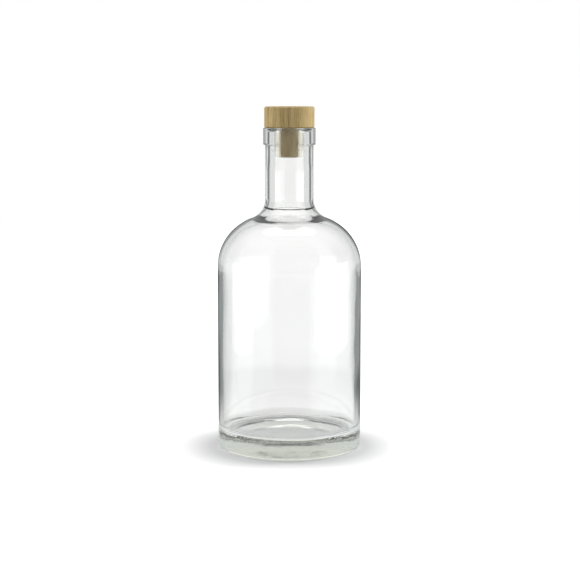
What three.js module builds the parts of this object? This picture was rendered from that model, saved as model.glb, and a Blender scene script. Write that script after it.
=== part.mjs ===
// A round glass carafe with a bar-top finish, closed by a stopper: a wooden head turned in one
// with its peg, and a milky sleeve on the peg that fits the bore of the neck.
// Millimetres, +Z up. The origin is the centre of the foot, on the surface it stands on.
import * as THREE from "three";

// The bore takes the sleeve of the stopper, and widens a little below it.
const bore = {
  radius: 9.25,
  widening: 0.35,
  wideningLength: 5.0,
  mouthRadius: 2.6, // rounding where the bore meets the top face
};

// The glass, from the foot up.
const glass = {
  bodyRadius: 45.25,
  sideHeight: 115.5, // foot to where the shoulder begins
  wall: 3.4, // side and shoulder
  heelRadius: 3.2, // outer edge of the foot
  footWidth: 7.5, // flat ring that it stands on
  puntHeight: 3.0, // hollow under the base, at the centre
  floorThickness: 9.9, // glass over the middle of the hollow
  floorRise: 0.9, // how far the inner floor is domed
  innerHeelRadius: 4.6, // inner corner between floor and side
  shoulderRadius: 32.0, // outside
  rootRadius: 12.6, // outside, shoulder to neck
  innerRootRadius: 15.0, // inside, shoulder to bore
  neckWall: 5.8,
  neckLength: 34.2, // straight part, up to the lip
};

// The band round the top of the neck.
const lip = {
  wall: 7.1,
  height: 10.5,
  lowerEdgeRadius: 0.5,
  upperEdgeRadius: 0.8,
};

const head = {
  inset: 0.65, // how much narrower than the lip it is, all round
  height: 13.1,
  edgeRadius: 1.1,
};

// The peg under the head, which the sleeve is pushed over.
const peg = {
  radius: 5.6,
  edgeRadius: 0.6, // at the lower end
  recess: 0.8, // how far the sleeve reaches below it
};

const sleeve = {
  length: 18.2, // below the head
  edgeRadius: 1.6, // at the lower end
};

const fit = {
  sleeveInBore: 0.15, // radial, also where the sleeve flares in the mouth
  pegInSleeve: 0.15, // radial
  sleeveUnderHead: 0.15,
  seatPastSleeve: 2.8, // how far the bore keeps its size below the sleeve
};

// How finely round things are drawn: sides of a full turn, and how far a chord may leave its arc.
const roundSegments = 64;
const chordError = 0.1;

const neckRadius = bore.radius + glass.neckWall;
const lipRadius = bore.radius + lip.wall;
const headRadius = lipRadius - head.inset;
const sleeveRadius = bore.radius - fit.sleeveInBore;
const shoulderX = glass.bodyRadius - glass.shoulderRadius;
const outerRoot = neckRoot(glass.shoulderRadius, neckRadius, glass.rootRadius);
const lipBottom = outerRoot.z + glass.neckLength;
const lipTop = lipBottom + lip.height;

// The centre of the arc between the shoulder arc and a straight neck, and the angle at which
// the two arcs meet.
function neckRoot(shoulderRadius, straightRadius, rootRadius) {
  const x = straightRadius + rootRadius;
  const rise = Math.sqrt((shoulderRadius + rootRadius) ** 2 - (x - shoulderX) ** 2);
  const angle = THREE.MathUtils.radToDeg(Math.atan2(rise, x - shoulderX));
  return { x, z: glass.sideHeight + rise, angle };
}

// Points along an arc about (cx, cz), from one angle to another, in degrees.
function arc(cx, cz, radius, from, to) {
  const widestStep = 2 * THREE.MathUtils.radToDeg(Math.acos(1 - chordError / radius));
  const steps = Math.max(2, Math.ceil(Math.abs(to - from) / widestStep));
  return Array.from({ length: steps + 1 }, (_, i) => {
    const angle = THREE.MathUtils.degToRad(from + ((to - from) * i) / steps);
    return new THREE.Vector2(cx + radius * Math.cos(angle), cz + radius * Math.sin(angle));
  });
}

// A shallow dome, as points from its top on the axis out to its edge.
function dome(edgeRadius, top, edge) {
  const rise = top - edge;
  const ball = (edgeRadius ** 2 + rise ** 2) / (2 * rise);
  const half = THREE.MathUtils.radToDeg(Math.asin(edgeRadius / ball));
  const points = arc(0, top - ball, ball, 90, 90 - half);
  points[0].x = 0;
  return points;
}

// Turns a profile of (radius, height) points about the Z axis.
function turned(profile) {
  return new THREE.LatheGeometry(profile, roundSegments).rotateX(Math.PI / 2);
}

function bottleOutside() {
  const footRadius = glass.bodyRadius - glass.heelRadius;
  return [
    ...dome(footRadius - glass.footWidth, glass.puntHeight, 0),
    ...arc(footRadius, glass.heelRadius, glass.heelRadius, -90, 0),
    ...arc(shoulderX, glass.sideHeight, glass.shoulderRadius, 0, outerRoot.angle),
    ...arc(outerRoot.x, outerRoot.z, glass.rootRadius, outerRoot.angle + 180, 180).slice(1),
    new THREE.Vector2(neckRadius, lipBottom),
    ...arc(
      lipRadius - lip.lowerEdgeRadius,
      lipBottom + lip.lowerEdgeRadius,
      lip.lowerEdgeRadius,
      -90,
      0,
    ),
    ...arc(lipRadius - lip.upperEdgeRadius, lipTop - lip.upperEdgeRadius, lip.upperEdgeRadius, 0, 90),
  ];
}

function bottleInside() {
  const passageRadius = bore.radius + bore.widening;
  const innerShoulder = glass.shoulderRadius - glass.wall;
  const innerRoot = neckRoot(innerShoulder, passageRadius, glass.innerRootRadius);
  const floorRadius = glass.bodyRadius - glass.wall - glass.innerHeelRadius;
  const floorTop = glass.puntHeight + glass.floorThickness;
  const floorEdge = floorTop - glass.floorRise;
  const seatBottom = lipTop - sleeve.length - fit.seatPastSleeve;
  return [
    ...dome(floorRadius, floorTop, floorEdge),
    ...arc(floorRadius, floorEdge + glass.innerHeelRadius, glass.innerHeelRadius, -90, 0).slice(1),
    ...arc(shoulderX, glass.sideHeight, innerShoulder, 0, innerRoot.angle),
    ...arc(innerRoot.x, innerRoot.z, glass.innerRootRadius, innerRoot.angle + 180, 180).slice(1),
    new THREE.Vector2(passageRadius, seatBottom - bore.wideningLength),
    new THREE.Vector2(bore.radius, seatBottom),
    ...arc(bore.radius + bore.mouthRadius, lipTop - bore.mouthRadius, bore.mouthRadius, 180, 90),
  ];
}

// The head's origin is at the seat, where it rests on the lip, and so is the sleeve's.
function headProfile() {
  const edgeX = headRadius - head.edgeRadius;
  const pegEnd = peg.recess - sleeve.length;
  return [
    new THREE.Vector2(0, pegEnd),
    ...arc(peg.radius - peg.edgeRadius, pegEnd + peg.edgeRadius, peg.edgeRadius, -90, 0),
    new THREE.Vector2(peg.radius, 0),
    ...arc(edgeX, head.edgeRadius, head.edgeRadius, -90, 0),
    ...arc(edgeX, head.height - head.edgeRadius, head.edgeRadius, 0, 90),
    new THREE.Vector2(0, head.height),
  ];
}

// Its flare lies along the rounded mouth of the bore, up to just under the head.
function sleeveProfile() {
  const innerRadius = peg.radius + fit.pegInSleeve;
  const flareRadius = bore.mouthRadius + fit.sleeveInBore;
  const rise = bore.mouthRadius - fit.sleeveUnderHead;
  const flareEnd = 180 - THREE.MathUtils.radToDeg(Math.asin(rise / flareRadius));
  return [
    new THREE.Vector2(innerRadius, -sleeve.length),
    ...arc(sleeveRadius - sleeve.edgeRadius, sleeve.edgeRadius - sleeve.length, sleeve.edgeRadius, -90, 0),
    ...arc(bore.radius + bore.mouthRadius, -bore.mouthRadius, flareRadius, 180, flareEnd),
    new THREE.Vector2(innerRadius, -fit.sleeveUnderHead),
    new THREE.Vector2(innerRadius, -sleeve.length),
  ];
}

const clearGlass = new THREE.MeshStandardMaterial({
  color: 0xe6eeea,
  roughness: 0.03,
  metalness: 0,
  transparent: true,
  opacity: 0.35,
});
const beech = new THREE.MeshStandardMaterial({ color: 0xc9a877, roughness: 0.6, metalness: 0 });
const milkyPlastic = new THREE.MeshStandardMaterial({ color: 0xe4e0cf, roughness: 0.45, metalness: 0 });

function piece(name, profile, material) {
  const mesh = new THREE.Mesh(turned(profile), material);
  mesh.name = name;
  return mesh;
}

const stopper = new THREE.Group();
stopper.add(
  piece("stopper_head", headProfile(), beech),
  piece("stopper_sleeve", sleeveProfile(), milkyPlastic),
);
stopper.position.z = lipTop;

const carafe = new THREE.Group();
carafe.add(piece("bottle", [...bottleOutside(), ...bottleInside().reverse()], clearGlass), stopper);

export default carafe;
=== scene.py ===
# A clear glass carafe with a wooden stopper, in plain studio light on white.
# Metres, +Z up. The foot of the carafe stands on z = 0.
import math

import bmesh
import bpy
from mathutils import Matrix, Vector, noise


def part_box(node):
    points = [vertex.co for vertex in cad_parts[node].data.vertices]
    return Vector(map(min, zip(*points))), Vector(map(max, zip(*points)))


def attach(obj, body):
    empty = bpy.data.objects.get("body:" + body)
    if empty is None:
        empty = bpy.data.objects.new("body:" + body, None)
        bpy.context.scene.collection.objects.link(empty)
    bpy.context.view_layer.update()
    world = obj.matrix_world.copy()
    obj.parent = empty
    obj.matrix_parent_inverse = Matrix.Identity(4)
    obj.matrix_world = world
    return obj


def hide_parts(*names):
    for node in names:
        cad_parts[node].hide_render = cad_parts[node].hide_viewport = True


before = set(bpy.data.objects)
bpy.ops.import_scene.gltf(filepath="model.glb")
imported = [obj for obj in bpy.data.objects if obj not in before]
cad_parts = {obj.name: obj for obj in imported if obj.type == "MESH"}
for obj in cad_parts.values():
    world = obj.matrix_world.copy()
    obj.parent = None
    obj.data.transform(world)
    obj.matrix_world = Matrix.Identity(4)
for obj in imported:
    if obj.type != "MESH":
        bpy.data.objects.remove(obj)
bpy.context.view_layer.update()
mm = 0.001
weldDistance = 0.001 * mm
print("frame loaded:", ", ".join(sorted(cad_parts)))


# Turning: a pen draws a profile in the XZ plane, which is then spun about Z.
arcStep = math.radians(4)


def lineTo(bm, pen, x, z, steps=1):
    start = pen.co.copy()
    for i in range(steps):
        pen = bmesh.ops.extrude_vert_indiv(bm, verts=[pen])["verts"][0]
        pen.co = start.lerp(Vector((x, 0, z)), (i + 1) / steps)
    return pen


def arcTo(bm, pen, centreX, centreZ, angle):
    arc = bmesh.ops.spin(
        bm,
        geom=[pen],
        cent=(centreX, 0, centreZ),
        axis=(0, -1, 0),  # a positive angle turns from +X towards +Z
        angle=angle,
        steps=max(2, math.ceil(abs(angle) / arcStep)),
    )
    return arc["geom_last"][0]


def spinProfile(bm, segments):
    bmesh.ops.remove_doubles(bm, verts=bm.verts, dist=weldDistance)
    bmesh.ops.spin(
        bm,
        geom=bm.verts[:] + bm.edges[:],
        cent=(0, 0, 0),
        axis=(0, 0, 1),
        angle=2 * math.pi,
        steps=segments,
        use_merge=True,
    )
    bmesh.ops.remove_doubles(bm, verts=bm.verts, dist=weldDistance)
    bmesh.ops.recalc_face_normals(bm, faces=bm.faces)


def softenCorners(bm, width, sharpest=math.radians(20)):
    corners = [e for e in bm.edges if e.is_manifold and e.calc_face_angle() > sharpest]
    bmesh.ops.bevel(
        bm,
        geom=corners,
        offset=width,
        offset_type="OFFSET",
        affect="EDGES",
        segments=3,
        profile=0.5,
        material=-1,
    )


def makePiece(bm, name, material, body, replaced):
    for face in bm.faces:
        face.smooth = True
    mesh = bpy.data.meshes.new(name)
    bm.to_mesh(mesh)
    bm.free()
    mesh.materials.append(material)
    piece = bpy.data.objects.new(name, mesh)
    bpy.context.collection.objects.link(piece)
    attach(piece, body)
    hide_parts(replaced)
    return piece


# Material nodes.
def newMaterial(name):
    material = bpy.data.materials.new(name)
    material.use_nodes = True
    tree = material.node_tree
    return material, tree, tree.nodes["Principled BSDF"]


def addNode(tree, kind, values=None, **settings):
    made = tree.nodes.new(kind)
    for key, value in settings.items():
        setattr(made, key, value)
    for key, value in (values or {}).items():
        made.inputs[key].default_value = value
    return made


def connect(tree, source, socket):
    # source is an output of another node, or a plain value
    if isinstance(source, bpy.types.NodeSocket):
        tree.links.new(source, socket)
    else:
        socket.default_value = source


def addMath(tree, operation, *sources, clamp=False):
    made = addNode(tree, "ShaderNodeMath", operation=operation, use_clamp=clamp)
    for i, source in enumerate(sources):
        connect(tree, source, made.inputs[i])
    return made.outputs["Value"]


def addVectorMath(tree, operation, *sources):
    made = addNode(tree, "ShaderNodeVectorMath", operation=operation)
    for i, source in enumerate(sources):
        connect(tree, source, made.inputs[i])
    isNumber = operation in ("LENGTH", "DISTANCE", "DOT_PRODUCT")
    return made.outputs["Value" if isNumber else "Vector"]


def addRange(tree, source, edges, levels=(0.0, 1.0)):
    made = addNode(tree, "ShaderNodeMapRange")
    names = ("From Min", "From Max", "To Min", "To Max")
    for name, value in zip(names, (*edges, *levels)):
        connect(tree, value, made.inputs[name])
    tree.links.new(source, made.inputs["Value"])
    return made.outputs["Result"]


def addMix(tree, kind, factor, first, second):
    made = addNode(tree, "ShaderNodeMix", data_type=kind)
    for name, source in (("Factor", factor), ("A", first), ("B", second)):
        connect(tree, source, made.inputs[name])
    return made.outputs["Result"]


def addRamp(tree, source, stops):
    ramp = addNode(tree, "ShaderNodeValToRGB")
    elements = ramp.color_ramp.elements
    while len(elements) < len(stops):
        elements.new(0.5)
    for element, (position, colour) in zip(elements, stops):
        element.position = position
        element.color = (*colour, 1)
    tree.links.new(source, ramp.inputs["Fac"])
    return ramp.outputs["Color"]


def streaksGroup():
    # fibres that run up the piece: a mask from 0 to 1
    group = bpy.data.node_groups.new("uprightStreaks", "ShaderNodeTree")
    for name in ("Across", "Along", "Detail", "Contrast"):
        group.interface.new_socket(name, in_out="INPUT", socket_type="NodeSocketFloat")
    group.interface.new_socket("Mask", in_out="OUTPUT", socket_type="NodeSocketFloat")
    given = group.nodes.new("NodeGroupInput").outputs
    result = group.nodes.new("NodeGroupOutput")
    place = addNode(group, "ShaderNodeTexCoord")
    scale = addNode(group, "ShaderNodeCombineXYZ")
    for axis, name in (("X", "Across"), ("Y", "Across"), ("Z", "Along")):
        group.links.new(given[name], scale.inputs[axis])
    stretched = addVectorMath(group, "MULTIPLY", place.outputs["Object"], scale.outputs["Vector"])
    fibres = addNode(group, "ShaderNodeTexNoise", {"Scale": 1.0, "Roughness": 0.6})
    group.links.new(stretched, fibres.inputs["Vector"])
    group.links.new(given["Detail"], fibres.inputs["Detail"])
    half = addMath(group, "DIVIDE", 0.5, given["Contrast"])
    edges = (addMath(group, "SUBTRACT", 0.5, half), addMath(group, "ADD", 0.5, half))
    mask = addRange(group, fibres.outputs["Fac"], edges)
    group.links.new(mask, result.inputs["Mask"])
    return group


uprightStreaks = streaksGroup()


def streaks(tree, **values):
    made = addNode(tree, "ShaderNodeGroup", node_tree=uprightStreaks)
    for key, value in values.items():
        made.inputs[key.capitalize()].default_value = value
    return made.outputs["Mask"]


# The bottle: one piece of clear glass.
bottle = {
    "wall": 3.4 * mm,
    "heelRadius": 3.2 * mm,
    "footWidth": 7.5 * mm,
    "puntHeight": 3.0 * mm,
    "floorThickness": 9.9 * mm,
    "floorRise": 0.9 * mm,
    "innerHeelRadius": 4.6 * mm,
    "shoulderRadius": 32.0 * mm,
    "rootRadius": 12.6 * mm,
    "innerRootRadius": 15.0 * mm,
    "neckRadius": 15.05 * mm,
    "neckLength": 34.2 * mm,
    "lipRadius": 16.35 * mm,
    "lipHeight": 10.5 * mm,
    "lipLowerEdge": 0.5 * mm,
    "lipUpperEdge": 0.8 * mm,
    "mouthRadius": 2.6 * mm,
    "boreRadius": 9.25 * mm,
    "boreWidening": 0.35 * mm,
    "seatLength": 21.0 * mm,
    "wideningLength": 5.0 * mm,
    "corner": 0.3 * mm,
    "segments": 256,
    "wallUnevenness": 0.22 * mm,
    "broadWaves": (45, 14),  # per metre, across and up
    "fineWaves": (110, 60),
    "fineWaveShare": 0.35,
    "evenLength": 45.0 * mm,  # from the top down, where the wall is even
    "evenFade": 20.0 * mm,
    "ior": 1.52,
    "tint": (0.66, 0.70, 0.58),
    "tintDensity": 8.0,
    "ringReach": 14.5 * mm,  # between the inside and the outside of the neck's root
    "ringHeight": 151.0 * mm,
    "ringWidth": 0.7 * mm,
    "ringDepth": 0.5 * mm,
    "rippleTop": 17.0 * mm,
    "rippleFade": 5.0 * mm,
    "rippleScale": 260.0,
    "rippleDepth": 0.4 * mm,
    "rippleStrength": 0.35,
}


def neckRoot(shoulderX, shoulderZ, shoulderRadius, straightRadius, rootRadius):
    # centre of the arc between the shoulder arc and the neck, and where the two arcs meet
    x = straightRadius + rootRadius
    rise = math.sqrt((shoulderRadius + rootRadius) ** 2 - (x - shoulderX) ** 2)
    return x, shoulderZ + rise, math.atan2(rise, x - shoulderX)


def domeBall(edgeRadius, rise):
    # radius of the ball that a shallow dome is part of, and half the angle it spans
    ball = (edgeRadius**2 + rise**2) / (2 * rise)
    return ball, math.asin(edgeRadius / ball)


def drawBottle(bm, b):
    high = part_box("bottle")[1]
    bodyRadius, top = high.x, high.z
    quarter = math.pi / 2
    lipBottom = top - b["lipHeight"]
    rootZ = lipBottom - b["neckLength"]
    shoulderX = bodyRadius - b["shoulderRadius"]
    rootX = b["neckRadius"] + b["rootRadius"]
    reach = b["shoulderRadius"] + b["rootRadius"]
    sideTop = rootZ - math.sqrt(reach**2 - (rootX - shoulderX) ** 2)
    meet = math.atan2(rootZ - sideTop, rootX - shoulderX)
    footRadius = bodyRadius - b["heelRadius"]

    # outside, from the middle of the foot up
    ball, half = domeBall(footRadius - b["footWidth"], b["puntHeight"])
    pen = bm.verts.new((0, 0, b["puntHeight"]))
    pen = arcTo(bm, pen, 0, b["puntHeight"] - ball, -half)
    pen = lineTo(bm, pen, footRadius, 0, steps=3)
    pen = arcTo(bm, pen, footRadius, b["heelRadius"], quarter)
    pen = lineTo(bm, pen, bodyRadius, sideTop, steps=40)
    pen = arcTo(bm, pen, shoulderX, sideTop, meet)
    pen = arcTo(bm, pen, rootX, rootZ, -meet)
    pen = lineTo(bm, pen, b["neckRadius"], lipBottom, steps=12)
    pen = lineTo(bm, pen, b["lipRadius"] - b["lipLowerEdge"], lipBottom)
    pen = arcTo(bm, pen, pen.co.x, lipBottom + b["lipLowerEdge"], quarter)
    pen = lineTo(bm, pen, b["lipRadius"], top - b["lipUpperEdge"], steps=4)
    pen = arcTo(bm, pen, b["lipRadius"] - b["lipUpperEdge"], pen.co.z, quarter)
    pen = lineTo(bm, pen, b["boreRadius"] + b["mouthRadius"], top)
    outside = set(bm.verts)

    # inside, from the mouth down
    passage = b["boreRadius"] + b["boreWidening"]
    innerShoulder = b["shoulderRadius"] - b["wall"]
    rootX, rootZ, meet = neckRoot(shoulderX, sideTop, innerShoulder, passage, b["innerRootRadius"])
    floorRadius = bodyRadius - b["wall"] - b["innerHeelRadius"]
    floorEdge = b["puntHeight"] + b["floorThickness"] - b["floorRise"]
    ball, half = domeBall(floorRadius, b["floorRise"])
    pen = arcTo(bm, pen, pen.co.x, top - b["mouthRadius"], quarter)
    pen = lineTo(bm, pen, b["boreRadius"], top - b["seatLength"], steps=6)
    pen = lineTo(bm, pen, passage, top - b["seatLength"] - b["wideningLength"], steps=2)
    pen = lineTo(bm, pen, passage, rootZ, steps=10)
    pen = arcTo(bm, pen, rootX, rootZ, meet)
    pen = arcTo(bm, pen, shoulderX, sideTop, -meet)
    pen = lineTo(bm, pen, bodyRadius - b["wall"], floorEdge + b["innerHeelRadius"], steps=40)
    pen = arcTo(bm, pen, floorRadius, floorEdge + b["innerHeelRadius"], -quarter)
    pen = arcTo(bm, pen, 0, floorEdge + b["floorRise"] - ball, half)
    return outside


def wave(point, across, up):
    return noise.noise(Vector((point.x * across, point.y * across, point.z * up)))


def unevenWall(inner, b):
    # blown glass is a little thicker here and thinner there; the bore keeps its size
    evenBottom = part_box("bottle")[1].z - b["evenLength"]
    for vert in inner:
        fade = min(1, max(0, (evenBottom - vert.co.z) / b["evenFade"]))
        broad, fine = wave(vert.co, *b["broadWaves"]), wave(vert.co, *b["fineWaves"])
        shift = b["wallUnevenness"] * fade * (broad + b["fineWaveShare"] * fine)
        vert.co += vert.normal * shift


def makeBottle(b, material):
    bm = bmesh.new()
    inner = bm.verts.layers.float.new("inner")
    outside = drawBottle(bm, b)
    for vert in bm.verts:
        vert[inner] = 0.0 if vert in outside else 1.0
    spinProfile(bm, b["segments"])
    softenCorners(bm, b["corner"])
    bm.normal_update()
    unevenWall([v for v in bm.verts if v[inner] > 0.5], b)
    bm.verts.layers.float.remove(inner)
    return makePiece(bm, "glassBottle", material, "bottle", "bottle")


def clearGlass(b):
    material, tree, shader = newMaterial("clearGlass")
    link = tree.links.new
    shader.inputs["Base Color"].default_value = (1, 1, 1, 1)
    shader.inputs["Roughness"].default_value = 0.0
    shader.inputs["IOR"].default_value = b["ior"]
    shader.inputs["Transmission Weight"].default_value = 1.0
    absorbed = {"Density": b["tintDensity"], "Color": (*b["tint"], 1)}
    tint = addNode(tree, "ShaderNodeVolumeAbsorption", absorbed)
    link(tint.outputs["Volume"], tree.nodes["Material Output"].inputs["Volume"])
    place = addNode(tree, "ShaderNodeTexCoord").outputs["Object"]
    parts = addNode(tree, "ShaderNodeSeparateXYZ")
    link(place, parts.inputs["Vector"])
    height = parts.outputs["Z"]

    # the thick base is rippled, the rest is smooth
    edges = (b["rippleTop"], b["rippleTop"] - b["rippleFade"])
    strength = addRange(tree, height, edges, (0.0, b["rippleStrength"]))
    noiseValues = {"Scale": b["rippleScale"], "Detail": 3.0}
    ripple = addNode(tree, "ShaderNodeTexNoise", noiseValues)
    rippled = addNode(tree, "ShaderNodeBump", {"Distance": b["rippleDepth"]})
    link(place, ripple.inputs["Vector"])
    link(strength, rippled.inputs["Strength"])
    link(ripple.outputs["Fac"], rippled.inputs["Height"])

    # a faint ring on the inside, where the shoulder runs into the neck; the mesh is smooth there
    radius = addVectorMath(tree, "LENGTH", addVectorMath(tree, "MULTIPLY", place, (1, 1, 0)))
    inside = addMath(tree, "LESS_THAN", radius, b["ringReach"])
    away = addMath(tree, "ABSOLUTE", addMath(tree, "SUBTRACT", height, b["ringHeight"]))
    ridge = addRange(tree, away, (b["ringWidth"], 0.0))
    ring = addNode(tree, "ShaderNodeBump", {"Distance": b["ringDepth"]})
    link(inside, ring.inputs["Strength"])
    link(ridge, ring.inputs["Height"])
    link(rippled.outputs["Normal"], ring.inputs["Normal"])
    link(ring.outputs["Normal"], shader.inputs["Normal"])
    return material


makeBottle(bottle, clearGlass(bottle))
print("bottle made")


# The stopper: a beech head turned in one with its peg, and a milky sleeve pushed over the peg.
stopper = {
    "headEdge": 1.1 * mm,
    "pegRadius": 5.6 * mm,
    "pegEdge": 0.6 * mm,
    "pegInSleeve": 0.15 * mm,
    "sleeveEdge": 1.6 * mm,
    "sleeveInBore": 0.15 * mm,
    "sleeveCorner": 0.15 * mm,
    "segments": 160,
}


def makeHead(s, material):
    low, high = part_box("stopper_head")
    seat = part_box("bottle")[1].z
    radius, edge, quarter = high.x, s["headEdge"], math.pi / 2
    pegRadius, pegEdge = s["pegRadius"], s["pegEdge"]
    bm = bmesh.new()
    pen = bm.verts.new((0, 0, low.z))
    pen = lineTo(bm, pen, pegRadius - pegEdge, low.z, steps=3)
    pen = arcTo(bm, pen, pegRadius - pegEdge, low.z + pegEdge, quarter)
    pen = lineTo(bm, pen, pegRadius, seat, steps=8)
    pen = lineTo(bm, pen, radius - edge, seat, steps=3)
    pen = arcTo(bm, pen, radius - edge, seat + edge, quarter)
    pen = lineTo(bm, pen, radius, high.z - edge, steps=6)
    pen = arcTo(bm, pen, radius - edge, high.z - edge, quarter)
    pen = lineTo(bm, pen, 0, high.z, steps=8)
    spinProfile(bm, s["segments"])
    return makePiece(bm, "stopperHead", material, "stopper", "stopper_head")


def makeSleeve(s, b, material):
    # its flare lies along the rounded mouth of the bore
    low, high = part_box("stopper_sleeve")
    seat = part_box("bottle")[1].z
    radius = b["boreRadius"] - s["sleeveInBore"]
    inner = s["pegRadius"] + s["pegInSleeve"]
    edge, mouth = s["sleeveEdge"], b["mouthRadius"]
    flare = math.asin((high.z - seat + mouth) / (mouth + s["sleeveInBore"]))
    bm = bmesh.new()
    pen = bm.verts.new((inner, 0, low.z))
    pen = lineTo(bm, pen, radius - edge, low.z)
    pen = arcTo(bm, pen, radius - edge, low.z + edge, math.pi / 2)
    pen = lineTo(bm, pen, radius, seat - mouth, steps=10)
    pen = arcTo(bm, pen, b["boreRadius"] + mouth, seat - mouth, -flare)
    pen = lineTo(bm, pen, inner, high.z, steps=2)
    pen = lineTo(bm, pen, inner, low.z, steps=10)
    spinProfile(bm, s["segments"])
    softenCorners(bm, s["sleeveCorner"])
    return makePiece(bm, "stopperSleeve", material, "stopper", "stopper_sleeve")


beech = {
    "broadGrain": {"across": 420, "along": 14, "detail": 3, "contrast": 2.0},
    "fineGrain": {"across": 2400, "along": 110, "detail": 4, "contrast": 2.2},
    "fineShare": 0.55,
    "tones": ((0.15, (0.24, 0.155, 0.05)), (0.5, (0.42, 0.305, 0.12)), (0.85, (0.60, 0.46, 0.235))),
    "poreDepth": 0.1 * mm,
    "poreStrength": 0.35,
    "roughness": 0.62,
}
milky = {
    "colour": (0.95, 0.93, 0.82),
    "roughness": 0.3,
    "ior": 1.12,  # below a real plastic's, for its look inside the neck
    "transmission": 0.93,
}


def beechWood(w):
    material, tree, shader = newMaterial("turnedBeech")
    broad = streaks(tree, **w["broadGrain"])
    fine = streaks(tree, **w["fineGrain"])
    tone = addMix(tree, "FLOAT", w["fineShare"], broad, fine)
    tree.links.new(addRamp(tree, tone, w["tones"]), shader.inputs["Base Color"])
    pores = {"Strength": w["poreStrength"], "Distance": w["poreDepth"]}
    bump = addNode(tree, "ShaderNodeBump", pores)
    tree.links.new(fine, bump.inputs["Height"])
    tree.links.new(bump.outputs["Normal"], shader.inputs["Normal"])
    shader.inputs["Roughness"].default_value = w["roughness"]
    return material


def milkyPlastic(p):
    material, _, shader = newMaterial("milkyPlastic")
    shader.inputs["Base Color"].default_value = (*p["colour"], 1)
    shader.inputs["Roughness"].default_value = p["roughness"]
    shader.inputs["IOR"].default_value = p["ior"]
    shader.inputs["Transmission Weight"].default_value = p["transmission"]
    return material


makeHead(stopper, beechWood(beech))
makeSleeve(stopper, bottle, milkyPlastic(milky))
print("stopper made")


# Studio: the camera sees a white floor and background. Through the glass the room is darker at
# the sides, and the floor glows by distance. That glow holds painted shade: a painted contact
# shadow round the foot, a painted darker ring and a painted dim patch behind the bottle. Rays that
# the glass has mirrored see a greyer room, darker on the camera's side, with a dark strip straight
# behind and light cards on the left and right. The cards are lamps, carried on down the floor as
# painted reflections in its glow, over painted grey rings. Depth below runs from 0 on the camera's
# side to 1 straight behind.
white = (1, 1, 1)
dimSides = (0.3, 0.31, 0.31)
floorFar = (0.30, 0.32, 0.32)
roomSides = (0.55, 0.56, 0.57)
studio = {
    "floorRadius": 1.6,
    "floorAlbedo": 0.6,
    # distance from the axis, and glow; the dip at 0.047 is a painted contact shadow round the foot,
    # the dip at 0.26 a painted darker ring
    "floorGlow": (
        (0.0, 0.38),
        (0.041, 0.34),
        (0.047, 0.08),
        (0.11, 0.35),
        (0.15, 0.35),
        (0.26, 0.16),
        (0.4, 0.25),
        (1.0, 0.49),
    ),
    # painted shade: the glow is lowered round a point behind the bottle, so the lower body looks
    # darker through the glass
    "dimCentre": (0, 0.14, 0),  # behind the bottle
    "dimLevel": 0.24,
    "dimReach": (0.04, 0.16),
    "shadowEdge": (0.05, 0.085),  # the camera sees the contact shadow end here, where a painted whitening glow for camera rays alone starts to cover the real shadow
    "whitening": 0.4,
    # depth, and colour
    "throughGlass": ((0.4, white), (0.5, dimSides), (0.74, dimSides), (0.86, white)),
    "mirroredRoom": ((0.05, (0.32, 0.32, 0.31)), (0.5, roomSides), (0.7, (0.72, 0.74, 0.74))),
    "strip": (0.16, 0.16, 0.17),
    "stripDepth": (0.965, 0.985),
    "stripTop": (0.25, 0.1),  # it fades out upwards
    "ceiling": (0.95, 0.95, 0.95),
    "ceilingEdge": (0.35, 0.75),
    # painted reflections: the floor glows for mirrored rays alone in grey rings and card-shaped bands
    # distance from the axis, and colour
    "mirroredFloor": ((0.06, (0.80, 0.81, 0.79)), (0.2, floorFar), (0.95, floorFar), (1.0, roomSides)),
    "paintedCardLight": (0.86, 0.9, 0.92),
    "cardSectors": ((74, 42), (-79, 21)),  # azimuth and half the width, in degrees
    "cardBlur": 3,
}


def polar(azimuth, distance, height):
    # azimuth is counted from the camera's side of the object, towards +X
    a = math.radians(azimuth)
    return (distance * math.sin(a), -distance * math.cos(a), height)


def addPathChoice(tree):
    # shown: rays that may see the glow and the backdrop; mirrored: reflected at least once
    path = addNode(tree, "ShaderNodeLightPath").outputs
    seen = addMath(tree, "MAXIMUM", path["Is Camera Ray"], path["Is Transmission Ray"])
    shown = addMath(tree, "MAXIMUM", seen, path["Is Glossy Ray"])
    mirrored = addMath(tree, "MINIMUM", path["Glossy Depth"], 1.0)
    return path["Is Camera Ray"], shown, mirrored


def studioWorld(s):
    world = bpy.data.worlds.new("whiteStudio")
    world.use_nodes = True
    bpy.context.scene.world = world
    tree = world.node_tree
    tree.nodes.clear()
    fromCamera, shown, mirrored = addPathChoice(tree)
    direction = addNode(tree, "ShaderNodeTexCoord")
    parts = addNode(tree, "ShaderNodeSeparateXYZ")
    tree.links.new(direction.outputs["Generated"], parts.inputs["Vector"])
    rise = parts.outputs["Z"]
    depth = addRange(tree, parts.outputs["Y"], (-1.0, 1.0))

    behind, below = addRange(tree, depth, s["stripDepth"]), addRange(tree, rise, s["stripTop"])
    strip = addMath(tree, "MULTIPLY", behind, below)
    sides = addMix(tree, "RGBA", strip, addRamp(tree, depth, s["mirroredRoom"]), (*s["strip"], 1))
    overhead = addRange(tree, rise, s["ceilingEdge"])
    room = addMix(tree, "RGBA", overhead, sides, (*s["ceiling"], 1))

    throughGlass = addRamp(tree, depth, s["throughGlass"])
    backdrop = addMix(tree, "RGBA", fromCamera, throughGlass, (*white, 1))
    straight = addMix(tree, "RGBA", shown, room, backdrop)
    background = addNode(tree, "ShaderNodeBackground")
    output = addNode(tree, "ShaderNodeOutputWorld")
    tree.links.new(addMix(tree, "RGBA", mirrored, straight, room), background.inputs["Color"])
    tree.links.new(background.outputs["Background"], output.inputs["Surface"])


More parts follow.
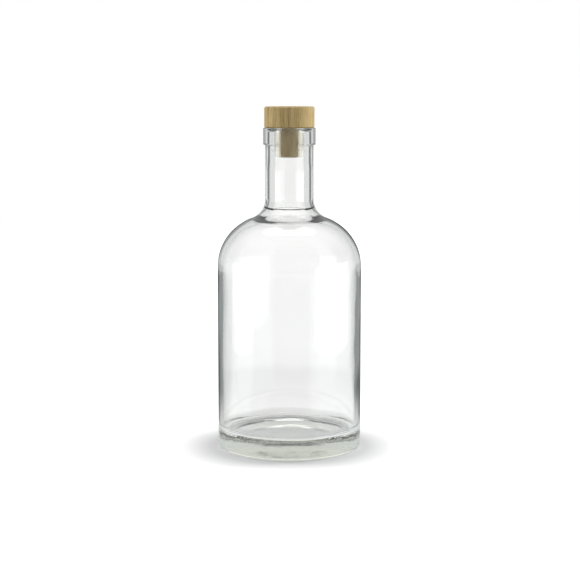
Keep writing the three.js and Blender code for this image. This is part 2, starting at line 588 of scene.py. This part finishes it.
def floorPaper(s):
    material, tree, shader = newMaterial("whiteFloor")
    tree.nodes.remove(shader)
    link = tree.links.new
    fromCamera, shown, mirrored = addPathChoice(tree)
    place = addNode(tree, "ShaderNodeTexCoord").outputs["Object"]
    distance = addVectorMath(tree, "LENGTH", place)

    # lit paper with a glow; the camera sees it plain white beyond a narrow contact shadow, which is
    # partly real shadow and partly a painted dip in the glow, as a painted whitening glow for camera
    # rays alone covers the real shadow further out
    paper = addNode(tree, "ShaderNodeBsdfDiffuse", {"Color": (*(s["floorAlbedo"],) * 3, 1)})
    # the glow by distance, with a painted contact shadow and a painted darker ring in it
    glows = addRamp(tree, distance, [(r, (g, g, g)) for r, g in s["floorGlow"]])
    # painted shade behind the bottle, taken off the glow
    fromPatch = addVectorMath(tree, "DISTANCE", place, s["dimCentre"])
    dimmed = addRange(tree, fromPatch, s["dimReach"], (s["dimLevel"], 0.0))
    glowLessPaintedShade = addMath(tree, "SUBTRACT", glows, dimmed, clamp=True)
    # painted whitening: extra glow for camera rays alone, beyond the contact shadow
    beyond = addRange(tree, distance, s["shadowEdge"], (0.0, s["whitening"]))
    strength = addMath(tree, "ADD", glowLessPaintedShade, addMath(tree, "MULTIPLY", fromCamera, beyond))
    glow = addNode(tree, "ShaderNodeEmission")
    lit = addNode(tree, "ShaderNodeAddShader")
    link(addMath(tree, "MULTIPLY", shown, strength), glow.inputs["Strength"])
    link(paper.outputs["BSDF"], lit.inputs[0])
    link(glow.outputs["Emission"], lit.inputs[1])

    # mirrored rays see the floor glow in painted reflections: grey rings, with a painted light card on
    # either side
    rings = addRamp(tree, distance, s["mirroredFloor"])
    outward = addVectorMath(tree, "NORMALIZE", place)
    cards = []
    for azimuth, halfWidth in s["cardSectors"]:
        towards = addVectorMath(tree, "DOT_PRODUCT", outward, polar(azimuth, 1, 0))
        blur = (s["cardBlur"], -s["cardBlur"])
        edges = [math.cos(math.radians(halfWidth + shift)) for shift in blur]
        cards.append(addRange(tree, towards, edges))
    onPaintedCard = addMath(tree, "MAXIMUM", *cards)
    reflected = addNode(tree, "ShaderNodeEmission")
    link(addMix(tree, "RGBA", onPaintedCard, rings, (*s["paintedCardLight"], 1)), reflected.inputs["Color"])

    either = addNode(tree, "ShaderNodeMixShader")
    link(mirrored, either.inputs["Fac"])
    link(lit.outputs["Shader"], either.inputs[1])
    link(reflected.outputs["Emission"], either.inputs[2])
    link(either.outputs["Shader"], tree.nodes["Material Output"].inputs["Surface"])
    return material


def studioFloor(s, material):
    bm = bmesh.new()
    bmesh.ops.create_circle(bm, cap_ends=True, segments=64, radius=s["floorRadius"])
    mesh = bpy.data.meshes.new("floor")
    bm.to_mesh(mesh)
    bm.free()
    mesh.materials.append(material)
    floor = bpy.data.objects.new("floor", mesh)
    bpy.context.collection.objects.link(floor)


def softLight(name, centre, target, size, radiance, **settings):
    # settings: shape, colour, and mirrored, which is False for a lamp that the glass never shows
    data = bpy.data.lights.new(name, "AREA")
    data.shape = settings.get("shape", "RECTANGLE")
    data.size, data.size_y = size
    data.energy = radiance * math.pi * size[0] * size[1]
    data.color = settings.get("colour", white)
    light = bpy.data.objects.new(name, data)
    bpy.context.collection.objects.link(light)
    light.location = centre
    aim = Vector(target) - Vector(centre)
    light.rotation_euler = aim.to_track_quat("-Z", "Y").to_euler()
    light.visible_camera = False
    light.visible_glossy = light.visible_transmission = settings.get("mirrored", True)


studioWorld(studio)
studioFloor(studio, floorPaper(studio))
middle, head = (0, 0, 0.085), (0, 0, 0.2)
coolWhite = (0.93, 0.97, 1.0)
softLight("rightCard", polar(72, 0.4, 0.085), middle, (0.5, 0.17), 1.15, colour=coolWhite)
softLight("leftCard", polar(-79, 0.4, 0.085), middle, (0.30, 0.17), 1.1)
softLight("topSoftbox", (0, 0.25, 1.15), (0, 0.1, 0), (1.0, 0.5), 1.5, shape="ELLIPSE")
softLight("rightLamp", polar(105, 0.7, 0.35), head, (0.3, 0.4), 10.0, mirrored=False)
softLight("leftLamp", polar(-105, 0.7, 0.35), head, (0.3, 0.4), 6.5, mirrored=False)
print("studio made")


# Camera: a little above the stopper, looking down.
view = {
    "lens": 97.4,
    "sensorWidth": 36,
    "distance": 0.983,
    "height": 0.2325,
    "tilt": 7.66,
    "side": 0.0004,
}
cameraData = bpy.data.cameras.new("camera")
cameraData.lens = view["lens"]
cameraData.sensor_width = view["sensorWidth"]
camera = bpy.data.objects.new("camera", cameraData)
bpy.context.collection.objects.link(camera)
camera.location = (view["side"], -view["distance"], view["height"])
camera.rotation_euler = (math.radians(90 - view["tilt"]), 0, 0)
bpy.context.scene.camera = camera
bpy.context.scene.view_settings.view_transform = "Standard"
